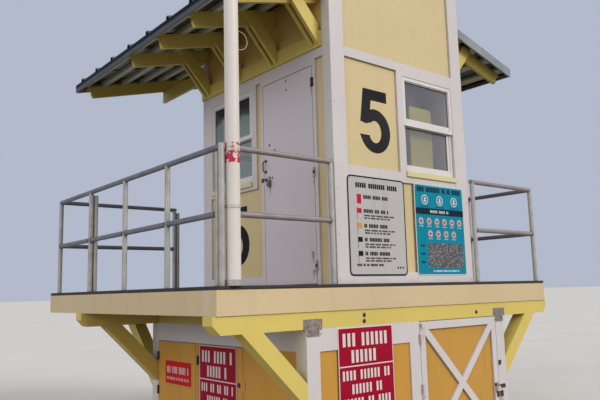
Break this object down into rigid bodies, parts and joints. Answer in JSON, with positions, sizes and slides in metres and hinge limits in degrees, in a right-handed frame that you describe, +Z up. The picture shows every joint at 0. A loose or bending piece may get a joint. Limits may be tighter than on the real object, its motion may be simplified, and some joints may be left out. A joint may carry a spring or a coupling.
{
  "type": "lifeguard tower",
  "caption": "Timber lifeguard hut on a raised, railed deck over a locker base, with lean-to roofs on both sides, a porch behind and a pole at one corner.",
  "frame": {"origin": "on the ground under the middle of the whole tower", "axes": "+Z up, the numbered front faces -Y, the back with its ladder faces +Y, the hut door faces -X"},
  "size_m": [4.505, 4.51, 5.67],
  "materials": {
    "white_boards": "white gloss paint, worn",
    "yellow_walls": "pale yellow paint",
    "yellow_timbers": "lemon yellow paint",
    "orange_panels": "orange ochre paint",
    "fascia_paint": "sand-coloured paint",
    "deck_boards": "weathered boards",
    "bare_timber": "weathered timber",
    "roof_metal": "blue-grey coated sheet",
    "purlin_paint": "grey-green paint",
    "pipe_metal": "dull pipe",
    "pole_paint": "white paint",
    "galvanised": "galvanised",
    "hinge_metal": "rusty steel",
    "window_glass": "dark clear glass"
  },
  "bodies": {
    "tower": {"base_posts": "white_boards", "base_sills": "white_boards", "base_headers": "white_boards", "base_panels": "orange_panels", "girders": "yellow_timbers", "side_plates": "yellow_timbers", "knee_braces": "yellow_timbers", "post_plates": "galvanised", "deck_joists": "bare_timber", "deck_fascia": "fascia_paint", "decking": "deck_boards", "hut_wall_front": "yellow_walls", "hut_wall_sea": "yellow_walls", "hut_wall_door_near": "yellow_walls", "hut_wall_door_head": "yellow_walls", "hut_wall_door_far": "yellow_walls", "hut_wall_right": "yellow_walls", "hut_corner_boards": "white_boards", "hut_bands": "white_boards", "window_casings": "white_boards", "window_sills": "yellow_walls", "door_casing": "white_boards", "window_sashes": "white_boards", "window_glass": "window_glass", "roof_ledgers": "yellow_timbers", "roof_beams": "yellow_timbers", "rafters": "yellow_timbers", "roof_braces": "yellow_timbers", "purlins": "purlin_paint", "side_roof_left": "roof_metal", "side_roof_right": "roof_metal", "porch_roof_sheets": "roof_metal", "roof_edging": "roof_metal", "hut_roof_boards": "yellow_walls", "hut_roof_sheets": "roof_metal", "rail_posts": "pipe_metal", "side_rails": "pipe_metal", "sea_rails": "pipe_metal", "front_rails": "pipe_metal", "flag_pole": "pole_paint", "pole_fittings": "galvanised", "ladder_stringers": "bare_timber", "ladder_treads": "bare_timber", "frame_hinges": "hinge_metal"},
    "hut_door_leaf": {"hut_door": "white_boards", "hut_door_hinges": "hinge_metal"},
    "front_locker_leaf": {"front_door_panel": "orange_panels", "front_door_frame": "white_boards", "front_door_hinges": "hinge_metal"},
    "far_locker_leaf": {"side_door_far": "orange_panels", "side_door_far_hinges": "hinge_metal"},
    "near_locker_leaf": {"side_door_near": "orange_panels", "side_door_near_hinges": "hinge_metal"}
  },
  "joints": [
    {"name": "hut_door_swing", "type": "hinge", "parent": "tower", "child": "hut_door_leaf", "pos_m": [-0.9715, -1.835, 1.67], "axis": [0, 0, 1], "range_deg": [0, 95]},
    {"name": "front_locker_swing", "type": "hinge", "parent": "tower", "child": "front_locker_leaf", "pos_m": [0.0105, -2.164, 0.06], "axis": [0, 0, -1], "range_deg": [0, 100]},
    {"name": "far_locker_swing", "type": "hinge", "parent": "tower", "child": "far_locker_leaf", "pos_m": [-1.3815, 0.432, 0.06], "axis": [0, 0, -1], "range_deg": [0, 90]},
    {"name": "near_locker_swing", "type": "hinge", "parent": "tower", "child": "near_locker_leaf", "pos_m": [-1.3815, -0.428, 0.06], "axis": [0, 0, -1], "range_deg": [0, 85]}
  ]
}
